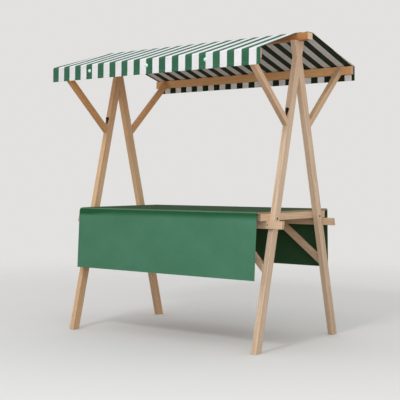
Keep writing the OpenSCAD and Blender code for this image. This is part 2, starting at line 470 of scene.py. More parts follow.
def bevelEdges(bm, edges, sizes, clamp=False):
    bmesh.ops.bevel(bm, geom=edges, offset_type="OFFSET", profile=0.5, affect="EDGES", clamp_overlap=clamp, **sizes)


def makeTimber(node, seed):
    bm = bmesh.new()
    bm.from_mesh(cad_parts[node].data)
    before, after = timberFinish["merge"]
    bmesh.ops.remove_doubles(bm, verts=bm.verts, dist=before)
    bmesh.ops.dissolve_limit(bm, angle_limit=timberFinish["flat"], verts=bm.verts, edges=bm.edges)
    if node == timberFinish["easedNode"]:
        left = min(vertex.co.x for vertex in bm.verts) + timberFinish["near"]
        top = max(vertex.co.z for vertex in bm.verts) - timberFinish["near"]
        ends = [edge for edge in bm.edges
                if all(vertex.co.x < left and vertex.co.z > top for vertex in edge.verts)]
        bevelEdges(bm, ends, timberFinish["eased"])
    arrises = [edge for edge in bm.edges if len(edge.link_faces) == 2 and edge.is_convex
               and edge.calc_face_angle() > timberFinish["sharp"]]
    bevelEdges(bm, arrises, timberFinish["arris"], clamp=True)
    bmesh.ops.remove_doubles(bm, verts=bm.verts, dist=after)
    mesh = meshFrom(bm, camelName(node))
    along, across = timberAxes(node)
    through = along.cross(across)
    local = [Vector([vertex.co.dot(axis) for axis in (across, through, along)]) for vertex in mesh.vertices]
    low, high = (Vector([pick(point[axis] for point in local) for axis in range(3)]) for pick in (min, max))
    half = (high - low) / 2
    setVectors(mesh, "timberPlace", [point - (low + high) / 2 for point in local])
    setVectors(mesh, "timberFacts", [(half.x, half.y, seed)] * len(local))
    setVectors(mesh, "timberAxis", [along] * len(local))
    left, right, slot = next(value for key, value in timberFinish["finishes"].items() if node.startswith(key))
    finish = left if "left" in node else right
    piece = newPiece(camelName(node), mesh, [pineMaterials[finish]], slot)
    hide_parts(node)


timberCount = 0
firstSeed, seedStep = timberFinish["seeds"]
for count, node in enumerate(sorted(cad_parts)):
    if not node.startswith(("canopy", "tablecloth", "hook")):
        makeTimber(node, firstSeed + seedStep * count)
        timberCount += 1
print("timbers:", timberCount)


# A rounded open path in Y and Z, as points no further apart than about a step
def roundedPath(points, radii, step, arcStep=radians(14)):
    points = [Vector(point) for point in points]
    rows = [points[0]]

    def lineTo(target):
        start = rows[-1]
        count = max(1, round((target - start).length / step))
        rows.extend(start.lerp(target, number / count) for number in range(1, count + 1))

    for last, corner, following, radius in zip(points, points[1:], points[2:], radii):
        before, after = (last - corner).normalized(), (following - corner).normalized()
        half = before.angle(after) / 2
        back = radius / tan(half)
        centre = corner + (before + after).normalized() * radius / sin(half)
        lineTo(corner + before * back)
        start, end = corner + before * back - centre, corner + after * back - centre
        sweep = pi - 2 * half
        count = max(3, round(sweep / arcStep))
        for number in range(1, count + 1):
            share = number / count
            arm = (start * sin((1 - share) * sweep) + end * sin(share * sweep)) / sin(sweep)
            rows.append(centre + arm)
    lineTo(points[-1])
    return rows


# Each point of a path with its normal and the length so far
def pathFacts(rows):
    facts, length = [], 0.0
    for index, point in enumerate(rows):
        if index:
            length += (point - rows[index - 1]).length
        ahead = rows[min(index + 1, len(rows) - 1)] - rows[max(index - 1, 0)]
        ahead.normalize()
        facts.append((point, Vector((-ahead.y, ahead.x)), length))
    return facts


def pathAt(facts, length):
    for (point, normal, reached), (nextPoint, nextNormal, nextReached) in zip(facts, facts[1:]):
        if length <= nextReached:
            share = (length - reached) / (nextReached - reached)
            return point.lerp(nextPoint, share), normal.lerp(nextNormal, share).normalized(), length
    return facts[-1]


# How a hem turns from double to single cloth, in from its edge: a row half way, one for the stitches,
# the last of the double cloth and the first of the single
hemShape = {"middle": 0.45, "stitches": 0.0030, "last": 0.0006, "stitchRow": 2, "clear": 0.003, "apart": 0.002}


def hemSteps(hem):
    return [0.0, hem * hemShape["middle"], hem - hemShape["stitches"], hem - hemShape["last"], hem]


def hemmedRows(facts, hem, extra=()):
    total, clear = facts[-1][2], hem + hemShape["clear"]
    inner = [length for _, _, length in facts if clear < length < total - clear
             and all(abs(length - other) > hemShape["apart"] for other in extra)]
    ends = hemSteps(hem)
    lengths = ends + sorted(inner + list(extra)) + [total - step for step in reversed(ends)]
    return [pathAt(facts, length) for length in lengths]


def hemmedColumns(half, step, hem):
    inner = half - hem
    count = round(2 * inner / step)
    middle = [-inner + 2 * inner * number / count for number in range(count + 1)]
    edge = [half - value for value in hemSteps(hem)[:-1]]
    return [-value for value in edge] + middle + edge[::-1]


# A closed shell of cloth over a grid of columns (X) and rows (along the path).
# It also returns the face side as a grid of (place, normal), for the stitches.
def clothShell(name, columns, facts, cloth, shift):
    total, half = facts[-1][2], cloth["half"]
    double = cloth["hem"] - hemShape["last"] / 2
    bm = bmesh.new()
    place, layers, face = [], [], []
    for side in (1, -1):
        layer = []
        for x in columns:
            line, spots = [], []
            for point, normal, length in facts:
                edge = min(length, total - length, x - columns[0], columns[-1] - x)
                thick = half + (cloth["hemExtra"] if side > 0 and edge < double else 0.0)
                outward = Vector((0, normal.x, normal.y))
                moved = Vector((x, point.x, point.y)) + shift(x, length, total, normal) + outward * thick * side
                line.append(bm.verts.new(moved))
                spots.append((moved, outward))
                place.append((moved.x, length, side))
            layer.append(line)
            if side > 0:
                face.append(spots)
        layers.append(layer)
    upper, lower = layers
    wide, long = len(columns) - 1, len(facts) - 1
    for i in range(wide):
        for j in range(long):
            bm.faces.new((upper[i][j], upper[i + 1][j], upper[i + 1][j + 1], upper[i][j + 1]))
            bm.faces.new((lower[i][j + 1], lower[i + 1][j + 1], lower[i + 1][j], lower[i][j]))
    for i in range(wide):
        bm.faces.new((lower[i][0], lower[i + 1][0], upper[i + 1][0], upper[i][0]))
        bm.faces.new((upper[i][long], upper[i + 1][long], lower[i + 1][long], lower[i][long]))
    for j in range(long):
        bm.faces.new((upper[0][j], upper[0][j + 1], lower[0][j + 1], lower[0][j]))
        bm.faces.new((lower[wide][j], lower[wide][j + 1], upper[wide][j + 1], upper[wide][j]))
    bmesh.ops.recalc_face_normals(bm, faces=bm.faces)
    mesh = meshFrom(bm, name, sharp=40)
    setVectors(mesh, "clothPlace", place)
    return mesh, face


def smoothStep(value):
    value = min(max(value, 0.0), 1.0)
    return value * value * (3 - 2 * value)


def waveAt(*place):
    return noise.noise(Vector(place))


# Two waves at once, each with its scale along X, its strength and its own line through the noise
def wavesAt(x, waves, lines):
    return sum(strength * waveAt(x * scale, *line) for (scale, strength), line in zip(waves, lines))


# What both cloths' finishes end with: uneven threads, roughness and the weave's relief
def dressCloth(tree, shader, weave, color, cloth):
    lift = timesPlus(tree, weave["Slub"], cloth["slub"], 1.0)
    setInputs(tree, shader, {
        "Base Color": tintColor(tree, color, lift, lift, lift),
        "Roughness": timesPlus(tree, weave["Fade"], *cloth["roughness"]),
        "Specular IOR Level": cloth["shine"], "Sheen Weight": cloth["sheen"],
        "Normal": bumpNode(tree, weave["Height"], cloth["relief"])})


# Canopy: one striped cloth from hem to hem, of two widths sewn together at the ridge's front arris
canopy = {
    "halfLength": 0.900,
    "path": [(-0.5945, 1.7924), (-0.5945, 1.8930), (-0.0302, 2.0563),
             (0.0302, 2.0563), (0.5935, 1.8914), (0.5935, 1.7887)],
    "rounds": [0.010, 0.012, 0.012, 0.006],
    "grid": 0.0125,
    "half": 0.0007,
    "hem": 0.020,
    "hemExtra": 0.0007,
    "sag": 0.0016,
    "ripple": 0.0010,
    "flutter": 0.0035,
    "waves": ((2.6, 1.0), (6.5, 0.5)),
    "waveLines": (((4.1, 0.0), (1.3, 2.0)), ((9.7, 0.0), (6.2, 2.0))),    # of the front and the rear valance
    "capHold": 0.16,                # how far along the valance a cap steadies it
    "steady": (0.35, 0.65),         # the least of the flutter, and what a wave or the lack of a cap adds
    "flare": 1.4,                   # how the flutter grows towards the hem
    "valance": (0.0990, 0.1015),    # front and rear, from the hem up to the eave fold
    "seam": (0.0905, 0.0930),       # the valances' seams, from their hems
    "ridgeSeam": 0.030,             # the ridge seam, forward of the middle
    "ridgeStitches": 0.006,         # and its stitches, forward of that
    "pull": (0.085, 0.50, 0.36),    # how far the front slope's right edge is drawn in at the ridge, from X, over
    "reachOut": (0.007, 0.80, 0.09),    # how far the valances' right ends stand out, from X, over
    "stripe": 0.05525,
    "firstStripe": -0.88790,
    "frontAskew": (0.0, -1.40),     # drift of the stripes, in stripes: at the front eave and the ridge seam,
    "frontBow": -0.36,              # with a bow between the two,
    "rearAskew": (-0.400, -0.840),  # then at the ridge seam and the rear eave
    "rearValanceDrift": 0.07,
    "fray": 0.0009,
    "fade": (-0.25, 0.25),
    "white": ((235, 236, 240), (223, 223, 226)),
    "green": ((51, 98, 74), (58, 108, 82)),
    # painted shade: the underside's green is darker than the face side's, and its white stays the same
    "backGreen": ((29, 42, 25), (36, 50, 31)),
    "weave": 0.0009,
    "slub": 0.22,
    "roughness": (0.12, 0.82),
    "shine": 0.08,
    "sheen": 0.03,
    "relief": 0.00012,
    "thread": (178, 186, 176),
    "stitch": {"Spacing": 0.0062, "Length": 0.0040, "Thickness": 0.0006},
}

# Three small caps on the front valance
valanceCaps = {
    "places": [(-0.525, 1.849), (0.000, 1.849), (0.490, 1.850)],    # X and Z
    "profile": [(0.0126, -0.0006), (0.0130, 0.0006), (0.0122, 0.0018), (0.0106, 0.0030), (0.0094, 0.0054),
                (0.0070, 0.0076), (0.0036, 0.0088), (0.0, 0.0091)],
}


# The slopes sag and ripple between ridge and eaves, and the valances flutter below the folds
def canopyShift(x, length, total, normal):
    front = length < total / 2
    valance = canopy["valance"][0 if front else 1]
    fromHem = min(length, total - length)
    reachOut, start, over = canopy["reachOut"]
    beyond = reachOut * smoothStep((x - start) / over)
    if fromHem < valance:
        down = (valance - fromHem) / valance
        wave = wavesAt(x, canopy["waves"], canopy["waveLines"][0 if front else 1])
        hold = smoothStep(min(abs(x - place) for place, _ in valanceCaps["places"]) / canopy["capHold"])
        least, more = canopy["steady"]
        out = canopy["flutter"] * (least + more * wave) * down ** canopy["flare"] * (least + more * hold)
        return Vector((beyond, (-1 if front else 1) * max(out, -0.0002), 0))
    share = (fromHem - valance) / (total / 2 - canopy["ridgeSeam"] - valance)
    if share > 1:
        return Vector((0, 0, 0))
    bow = 4 * share * (1 - share)
    sag = canopy["sag"] * (1 + 0.5 * waveAt(x * 1.7, 3.0 if front else 8.0, 1.0))
    ripple = canopy["ripple"] * waveAt(x * 5.5, share * 0.6 + (0 if front else 5), 7.0)
    far, start, over = canopy["pull"]
    pull = far * share ** 0.7 * smoothStep((x - start) / over) if front else 0.0
    pull -= beyond * (1 - share) ** 6
    return Vector((0, -normal.x, -normal.y)) * bow * (sag + ripple) - Vector((pull, 0, 0))


canopyFacts = pathFacts(roundedPath(canopy["path"], canopy["rounds"], canopy["grid"]))
canopyLength = canopyFacts[-1][2]
canopyRidgeSeam = canopyLength / 2 - canopy["ridgeSeam"]
canopySeams = (canopy["seam"][0], canopyRidgeSeam - canopy["ridgeStitches"], canopyLength - canopy["seam"][1])
canopyFacts = hemmedRows(canopyFacts, canopy["hem"], canopySeams)
canopyColumns = hemmedColumns(canopy["halfLength"], canopy["grid"], canopy["hem"])
canopyMesh, canopyFace = clothShell("canopyCloth", canopyColumns, canopyFacts, canopy, canopyShift)
print("canopy cloth:", len(canopyMesh.polygons), "faces,", round(canopyLength, 4), "m from hem to hem")


def makeCanopyMaterial(cloth):
    material, tree, shader = newMaterial("stripedCanvas")
    place = attributeNode(tree, "clothPlace")
    x, along, side = separate(tree, place)
    weave = groupNode(tree, weaveGroup, {"Place": place, "Thread": cloth["weave"]})
    x = mathNode(tree, "ADD", x, times(tree, weave["Slub"], cloth["fray"]))
    count = mathNode(tree, "DIVIDE", minus(tree, x, cloth["firstStripe"]), cloth["stripe"])
    # over the roof the stripes run askew, each width by its own amount
    frontEave, rearEave = cloth["valance"][0], canopyLength - cloth["valance"][1]
    climb = stepNode(tree, along, frontEave, canopyRidgeSeam, smooth=False)
    bow = times(tree, times(tree, climb, cloth["frontBow"]), minus(tree, 1.0, climb))
    frontDrift = stepNode(tree, along, frontEave, canopyRidgeSeam, cloth["frontAskew"], smooth=False)
    frontDrift = mathNode(tree, "ADD", frontDrift, bow)
    rearDrift = stepNode(tree, along, canopyRidgeSeam, rearEave, cloth["rearAskew"], smooth=False)
    behind = mathNode(tree, "GREATER_THAN", along, canopyRidgeSeam)
    drift = timesPlus(tree, behind, minus(tree, rearDrift, frontDrift), frontDrift)
    pastFront = mathNode(tree, "GREATER_THAN", along, frontEave)
    drift = times(tree, drift, times(tree, pastFront, mathNode(tree, "LESS_THAN", along, rearEave)))
    pastRear = mathNode(tree, "GREATER_THAN", along, rearEave)
    count = minus(tree, count, timesPlus(tree, pastRear, cloth["rearValanceDrift"], drift))
    odd = mathNode(tree, "PINGPONG", mathNode(tree, "FLOOR", count), 1.0)
    fade = stepNode(tree, weave["Fade"], *cloth["fade"])
    white, green, backGreen = (mixColor(tree, fade, linear(*first), linear(*second))
                               for first, second in (cloth["white"], cloth["green"], cloth["backGreen"]))
    # painted shade: the underside takes the darker green
    green = mixColor(tree, mathNode(tree, "LESS_THAN", side, 0.0), green, backGreen)
    dressCloth(tree, shader, weave, mixColor(tree, odd, green, white), cloth)
    return material


canopyPiece = newPiece("canopyCloth", canopyMesh, [makeCanopyMaterial(canopy)], "canopy_cloth")
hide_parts("canopy")

# Table cloth: one plain cloth, draped over the counter from front hem to rear hem
tableCloth = {
    "halfLength": 0.780,
    "top": 0.8872,
    "edge": 0.4408,
    "round": 0.013,
    "frontHem": (-0.4646, 0.4547),
    "rearHem": (0.4484, 0.4777),
    "grid": (0.014, 0.016),       # across, and down the drops
    "steps": (8, 54),             # round a fold, and over the top
    "hang": 1.06,                 # a drop leans out a little more towards its hem
    "half": 0.0005,
    "hem": 0.016,
    "hemExtra": 0.0006,
    "fold": 0.0022,
    "waves": ((1.9, 1.0), (4.6, 0.45)),
    "waveStarts": (2.0, 11.0),    # of the front and the rear drop
    "corners": (0.70, 0.08),      # from X, over: where both sides stand out
    "corner": (0.020, 0.030, 0.12),    # how far the left front corner is drawn in, over what height and width
    "fade": (-0.30, 0.30),
    "green": ((73, 125, 98), (82, 135, 108)),
    "foldBlur": 0.006,
    "foldGreen": (38, 92, 58),    # painted shade: a darker band under each fold
    "foldBand": (0.026, 0.003, 0.048),    # where it starts to fade out, on the left and further on, and where it ends
    "foldBandX": (-0.72, -0.45),  # between these the left start becomes the other
    "arrisGreen": (92, 122, 98),  # painted highlight: the lighter line along each fold, from past it
    "arrisBand": (-0.004, -0.008),
    # painted shade: the top is darker than the drops
    "topGreen": (54, 84, 56),
    "topBand": (-0.017, -0.023),
    # painted shade: the cloth's inner side is darker green
    "backGreen": (52, 86, 56),
    "weave": 0.0006,
    "slub": 0.16,
    "roughness": (0.10, 0.90),
    "shine": 0.08,
    "sheen": 0.0,
    "relief": 0.00008,
    "thread": (82, 128, 103),
    "stitch": {"Spacing": 0.0056, "Length": 0.0036, "Thickness": 0.0007},
}


def tableClothPath(cloth):
    bend, top, edge = cloth["round"], cloth["top"], cloth["edge"]
    turns, flats = cloth["steps"]
    flat, start = edge - bend, top - bend

    def drop(hem, sign):
        count = round((start - hem[1]) / cloth["grid"][1])
        shares = [number / count for number in range(count + 1)]
        return [Vector((sign * edge + (hem[0] - sign * edge) * share ** cloth["hang"],
                        start + (hem[1] - start) * share)) for share in shares]

    def fold(sign, number):
        angle = radians(90 - sign * 90 * number / turns)
        return Vector((sign * flat + bend * cos(angle), start + bend * sin(angle)))

    rows = drop(cloth["frontHem"], -1)[::-1]
    rows += [fold(-1, number) for number in range(turns - 1, -1, -1)]
    rows += [Vector((-flat + 2 * flat * number / flats, top)) for number in range(1, flats)]
    rows += [fold(1, number) for number in range(turns)]
    return rows + drop(cloth["rearHem"], 1)


# The drops hang in slow waves below the folds
def tableClothShift(x, length, total, normal):
    front = length < total / 2
    foldAt = tableClothFolds[0] if front else total - tableClothFolds[1]
    down = (foldAt - min(length, total - length)) / foldAt
    drawn = drawnIn(x, length) if front else 0.0
    if down <= 0:
        return Vector((drawn, 0, 0))
    start = tableCloth["waveStarts"][0 if front else 1]
    wave = wavesAt(x, tableCloth["waves"], ((down * 0.5, start), (down * 0.7, start + 3)))
    cornerFrom, over = tableCloth["corners"]
    corner = smoothStep((abs(x) - cornerFrom) / over)
    out = tableCloth["fold"] * (1.15 * wave + 0.5 * corner) * smoothStep(down * 1.6)
    return Vector((drawn, (-1 if front else 1) * out, 0))


# The left front corner hangs rounded, over the board's eased end
def drawnIn(x, length):
    reach, height, width = tableCloth["corner"]
    bend, quarter = tableCloth["round"], pi / 2
    along = tableClothFolds[0] + bend * quarter - length    # from the flat top
    if along < 0:
        share = smoothStep(1 + along / width)
    else:
        fromTop = bend * (1 - cos(min(along / bend, quarter))) + max(0.0, along - bend * quarter)
        rest = max(0.0, 1 - fromTop / height)
        share = 1 - sqrt(1 - rest * rest)
    return reach * share * (1 - smoothStep((x + tableCloth["halfLength"]) / width))


tableClothFacts = pathFacts(tableClothPath(tableCloth))
tableClothFolds = [length for point, _, length in tableClothFacts
                   if abs(point.y - (tableCloth["top"] - tableCloth["round"])) < 1e-6]
tableClothFacts = hemmedRows(tableClothFacts, tableCloth["hem"])
tableClothColumns = hemmedColumns(tableCloth["halfLength"], tableCloth["grid"][0], tableCloth["hem"])
tableClothMesh, tableClothFace = clothShell(
    "tableCloth", tableClothColumns, tableClothFacts, tableCloth, tableClothShift)


def makeTableClothMaterial(cloth):
    material, tree, shader = newMaterial("greenCloth")
    place = attributeNode(tree, "clothPlace")
    x, along, side = separate(tree, place)
    weave = groupNode(tree, weaveGroup, {"Place": place, "Thread": cloth["weave"]})
    first, second = cloth["green"]
    color = mixColor(tree, stepNode(tree, weave["Fade"], *cloth["fade"]), linear(*first), linear(*second))
    # distance down from the nearer fold, below 0 on the top
    middle, reach = sum(tableClothFolds) / 2, (tableClothFolds[1] - tableClothFolds[0]) / 2
    down = minus(tree, mathNode(tree, "ABSOLUTE", minus(tree, along, middle)), reach)
    down = timesPlus(tree, weave["Fade"], cloth["foldBlur"], down)
    # painted shade in a band under each fold and over the top, and a painted highlight along each fold
    leftFull, full, end = cloth["foldBand"]
    foldBand = (end, stepNode(tree, x, *cloth["foldBandX"], (leftFull, full)))
    for band, green in ((foldBand, "foldGreen"), (cloth["arrisBand"], "arrisGreen"), (cloth["topBand"], "topGreen")):
        color = mixColor(tree, stepNode(tree, down, *band), color, linear(*cloth[green]))
    # painted shade: the inner side takes the darker green
    color = mixColor(tree, mathNode(tree, "LESS_THAN", side, 0.0), color, linear(*cloth["backGreen"]))
    dressCloth(tree, shader, weave, color, cloth)
    return material


tableClothPiece = newPiece("tableCloth", tableClothMesh, [makeTableClothMaterial(tableCloth)], "table_cloth")
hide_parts("tablecloth")


# Plain finishes for the small pieces: two colors, and which scuffs show the second, how strongly
smallFinishes = {
    "blackIron": {"colors": ((38, 33, 30), (78, 70, 64)), "scuffs": ("Mask", 0.5), "scale": 60.0,
                  "roughness": (0.25, 0.30), "metal": 0.6, "relief": 0.0003},
    "capPlastic": {"colors": ((212, 244, 228), (190, 228, 208)), "scuffs": ("Mask", 0.3), "scale": 80.0,
                   "roughness": (0.2, 0.28), "metal": 0.0, "relief": 0.0001},
}
threadFinish = {"shade": 0.82, "scuffs": ("Cloud", 1.0), "scale": 120.0, "roughness": (0.2, 0.6),
                "metal": 0.0, "relief": 0.0001}


def makeSmallFinish(name, finish):
    material, tree, shader = newMaterial(name)
    scuff = groupNode(tree, scuffGroup, {"Place": objectPlace(tree), "Scale": finish["scale"]})
    kind, strength = finish["scuffs"]
    first, second = (linear(*color) for color in finish["colors"])
    setInputs(tree, shader, {
        "Base Color": mixColor(tree, times(tree, scuff[kind], strength), first, second),
        "Roughness": timesPlus(tree, scuff["Cloud"], *finish["roughness"]), "Metallic": finish["metal"],
        "Normal": bumpNode(tree, scuff["Cloud"], finish["relief"])})
    return material


def makeThread(name, color):
    shade = tuple(value * threadFinish["shade"] for value in color)
    return makeSmallFinish(name, {**threadFinish, "colors": (shade, color)})


ironMaterial, capMaterial = (makeSmallFinish(name, finish) for name, finish in smallFinishes.items())


# Geometry Nodes: heads on points and stitches along lines, each baked to a plain mesh
def finishNodes(tree, give, take, values):
    placed = addNode(tree, "GeometryNodeInstanceOnPoints", values).outputs[0]
    solid = addNode(tree, "GeometryNodeRealizeInstances", {"Geometry": placed}).outputs[0]
    painted = addNode(tree, "GeometryNodeSetMaterial", {"Geometry": solid, "Material": give["Finish"]})
    setInputs(tree, take, {"Geometry": painted.outputs[0]})
    return tree


def aimNode(tree, vector):
    return addNode(tree, "FunctionNodeAlignRotationToVector", {"Vector": vector}, axis="Z").outputs[0]


def makeHeadNodes():
    tree, give, take = newTree("GeometryNodeTree", "headsOnPoints", {
        "Points": "Geometry", "Head": "Object", "Spin Seed": "Int", "Finish": "Material"}, {"Geometry": "Geometry"})
    facing = addNode(tree, "GeometryNodeInputNamedAttribute", {"Name": "facing"}, data_type="FLOAT_VECTOR")
    chance = addNode(tree, "FunctionNodeRandomValue", {2: 0.0, 3: 2 * pi, 8: give["Spin Seed"]},
                     data_type="FLOAT").outputs[1]
    turn = addNode(tree, "FunctionNodeEulerToRotation", {
        0: addNode(tree, "ShaderNodeCombineXYZ", {2: chance}).outputs[0]}).outputs[0]
    spun = addNode(tree, "FunctionNodeRotateRotation", {0: aimNode(tree, facing.outputs["Attribute"]), 1: turn},
                   rotation_space="LOCAL").outputs[0]
    head = addNode(tree, "GeometryNodeObjectInfo", {"Object": give["Head"]}, transform_space="ORIGINAL")
    return finishNodes(tree, give, take, {
        "Points": give["Points"], "Instance": head.outputs["Geometry"], "Rotation": spun})


stitchSides = 5    # so a stitch has 7 faces with its ends


def makeStitchNodes():
    tree, give, take = newTree("GeometryNodeTree", "stitchLine", {
        "Line": "Geometry", "Spacing": "Float", "Length": "Float", "Thickness": "Float", "Finish": "Material"},
        {"Geometry": "Geometry"})
    curve = addNode(tree, "GeometryNodeMeshToCurve", {0: give["Line"]}).outputs[0]
    curve = addNode(tree, "GeometryNodeResampleCurve", {"Curve": curve, "Length": give["Spacing"]},
                    mode="LENGTH").outputs[0]
    tangent = addNode(tree, "GeometryNodeInputTangent").outputs[0]
    stitch = addNode(tree, "GeometryNodeMeshCylinder", {
        "Vertices": stitchSides, "Radius": times(tree, give["Thickness"], 0.5), "Depth": give["Length"]},
        fill_type="NGON")
    return finishNodes(tree, give, take, {
        "Points": curve, "Instance": stitch.outputs["Mesh"], "Rotation": aimNode(tree, tangent)})


def bakeNodes(name, mesh, tree, values, slot):
    carrier = addObject(name + "Carrier", mesh)
    modifier = carrier.modifiers.new("nodes", "NODES")
    modifier.node_group = tree
    sockets = {item.name: item.identifier for item in tree.interface.items_tree if item.in_out == "INPUT"}
    for label, value in values.items():
        modifier[sockets[label]] = value
    graph = bpy.context.evaluated_depsgraph_get()
    result = bpy.data.meshes.new_from_object(carrier.evaluated_get(graph), depsgraph=graph)
    result.name = name
    carrier.modifiers.remove(modifier)
    bpy.data.objects.remove(carrier)
    return newPiece(name, result, slot=slot)


def pointMesh(name, spots):
    mesh = bpy.data.meshes.new(name)
    mesh.from_pydata([place for place, _ in spots], [], [])
    setVectors(mesh, "facing", [facing for _, facing in spots])
    return mesh


def lineMesh(name, lines):
    points, edges = [], []
    for line in lines:
        edges += [(len(points) + number, len(points) + number + 1) for number in range(len(line) - 1)]
        points += line
    mesh = bpy.data.meshes.new(name)
    mesh.from_pydata(points, edges, [])
    return mesh


def turnsOf(count):
    return [2 * pi * number / count for number in range(count)]


# Faces from ring to ring of points; the last ring may be a single point
def skinRings(bm, rings, closeLast=False):
    for low, high in zip(rings, rings[1:]):
        for number, corner in enumerate(low):
            after = (number + 1) % len(low)
            bm.faces.new((corner, low[after], *(high if len(high) == 1 else (high[after], high[number]))))
    bm.faces.new(rings[0][::-1])
    if closeLast:
        bm.faces.new(rings[-1])


def latheInto(bm, profile, segments, place=lambda *spot: Vector(spot)):
    skinRings(bm, [[bm.verts.new(place(radius * cos(turn), radius * sin(turn), height))
                    for turn in turnsOf(segments if radius else 1)] for radius, height in profile])


headNodes = makeHeadNodes()
stitchNodes = makeStitchNodes()


def headPiece(name, parts, spots, finish, slot, seed=4):
    bm = bmesh.new()
    for profile, segments in parts:
        latheInto(bm, profile, segments)
    head = addObject(name + "Head", meshFrom(bm, name + "Head", sharp=35))
    piece = bakeNodes(name, pointMesh(name + "Points", spots), headNodes,
                      {"Head": head, "Spin Seed": seed, "Finish": finish}, slot)
    bpy.data.objects.remove(head)
    return piece


def stitchPiece(name, lines, cloth, slot):
    return bakeNodes(name, lineMesh(name + "Lines", lines), stitchNodes, {
        **cloth["stitch"], "Finish": makeThread(name + "Thread", cloth["thread"])}, slot)


# Rows of the cloth's face side that its stitches follow
def hemLines(face, lift=0.0001, extraRows=()):
    row = hemShape["stitchRow"]
    wide, long = len(face), len(face[0])

    def spot(i, j):
        place, outward = face[i][j]
        return place + outward * lift

    rows = [row, long - 1 - row, *extraRows]
    lines = [[spot(i, j) for i in range(row, wide - row)] for j in rows]
    return lines + [[spot(i, j) for j in range(row, long - row)] for i in (row, wide - 1 - row)]


seamRows = [number for number, (_, _, length) in enumerate(canopyFacts) if length in canopySeams]
canopyStitches = stitchPiece("canopyStitches", hemLines(canopyFace, extraRows=seamRows), canopy, "canopy_cloth")
tableClothStitches = stitchPiece("tableClothStitches", hemLines(tableClothFace), tableCloth, "table_cloth")
print("stitches:", *(len(piece.data.polygons) // (stitchSides + 2) for piece in (canopyStitches, tableClothStitches)))

capSpots = []
for x, z in valanceCaps["places"]:
    point, normal, length = pathAt(canopyFacts, z - canopy["path"][0][1])
    place = Vector((x, point.x, point.y)) + canopyShift(x, length, canopyLength, normal)
    capSpots.append((place + Vector((0, -canopy["half"], 0)), Vector((0, -1, 0))))
capPiece = headPiece("valanceCaps", [(valanceCaps["profile"], 20)], capSpots, capMaterial, "canopy_cloth")

# Coach bolts through legs and bearers, and screws through the long rails.
# A head is a list of parts, each its profile as radius and height, and its number of sides.
fixings = {
    "boltZ": 0.842,
    "bearerInner": 0.757,
    "screwX": 0.7895,
    "screwZ": 0.803,
    "railOut": 0.02578,
    "boltHead": [(((0.0070, -0.0004), (0.0070, 0.0008), (0.0064, 0.0022), (0.0050, 0.0033), (0.0028, 0.0040),
                   (0.0, 0.0042)), 20)],
    "nut": [(((0.0085, -0.0002), (0.0085, 0.0012), (0.0040, 0.0014)), 20),
            (((0.0072, 0.0010), (0.0072, 0.0060), (0.0060, 0.0067), (0.0040, 0.0067)), 6),
            (((0.0032, 0.0060), (0.0032, 0.0090), (0.0026, 0.0096), (0.0, 0.0096)), 12)],
    "screwHead": [(((0.0040, -0.0004), (0.0041, 0.0004), (0.0036, 0.0013), (0.0024, 0.0020), (0.0014, 0.0022),
                    (0.0012, 0.0010), (0.0, 0.0008)), 16)],
}


# Where a leg's outer edge is at a height, in front
def legOutY(z):
    return -stall["footY"] - stall["legHalf"][0] / leanCos + z * leanTan


boltSpots, nutSpots, screwSpots = [], [], []
for side in (-1, 1):
    for row in (-1, 1):
        z = fixings["boltZ"]
        y = row * (stall["footY"] - z * leanTan)
        boltSpots.append((Vector((side * stall["trestleX"], y, z)), Vector((side, 0, 0))))
        nutSpots.append((Vector((side * fixings["bearerInner"], y, z)), Vector((-side, 0, 0))))
        z = fixings["screwZ"]
        y = -row * (legOutY(z) - fixings["railOut"])
        screwSpots.append((Vector((side * fixings["screwX"], y, z)), Vector((0, row * leanCos, leanSin))))

# Coat hooks: a drop-shaped back plate, and an arm that bends up to a ball
hookSizes = {
    "alongLeg": 1.59053,
    "plate": (0.0130, 0.0040, 0.039),    # head radius, tip radius, distance between
    "plateSteps": (22, 8),               # round the head and the tip
    "plateRings": [(0.0, 0.0), (0.0, 0.0020), (0.0004, 0.0026), (0.0011, 0.0030)],    # inset and height
    "bend": 0.013,
    "arm": (0.0056, 0.0042, 0.0033),     # radius at the root, above its flare and at the ball
    "armSteps": (12, 12),                # along and round
    "armFrom": 0.0015,                   # above the plate's back
    "flare": 2.5,                        # in steps along the arm
    "ball": 0.0061,
    "ballOut": 0.0012,                   # past the end of the bend
    "screws": (0.0078, -0.0285),
}


def hookPlace(row, side):
    reach = hookSizes["alongLeg"]
    middleX = side * (stall["trestleX"] - stall["legHalf"][1])

    def place(across, along, out):
        far = stall["legHalf"][0] + out
        y = -stall["footY"] + (reach + along) * leanSin - far * leanCos
        return Vector((middleX + across, -row * y, (reach + along) * leanCos + far * leanSin))
    return place


def plateOutline(inset):
    head, tip, apart = hookSizes["plate"]
    tilt = asin((head - tip) / apart)
    points = []
    arcs = ((head, 0.0, -tilt, pi + 2 * tilt), (tip, -apart, pi + tilt, pi - 2 * tilt))
    for (radius, along, start, sweep), steps in zip(arcs, hookSizes["plateSteps"]):
        for number in range(steps + 1):
            angle = start + sweep * number / steps
            points.append(((radius - inset) * cos(angle), along + (radius - inset) * sin(angle)))
    return points


def armRings(place):
    root, neck, tip = hookSizes["arm"]
    steps, sides = hookSizes["armSteps"]
    for number in range(steps + 1):
        turn = radians(90) * number / steps
        flare = max(0.0, 1 - number / hookSizes["flare"]) ** 2
        radius = neck + (tip - neck) * number / steps + (root - neck) * flare
        ring = []
        for around in turnsOf(sides):
            far = hookSizes["bend"] + radius * sin(around)
            ring.append(place(radius * cos(around), -far * cos(turn),
                              hookSizes["armFrom"] + far * sin(turn)))
        yield ring


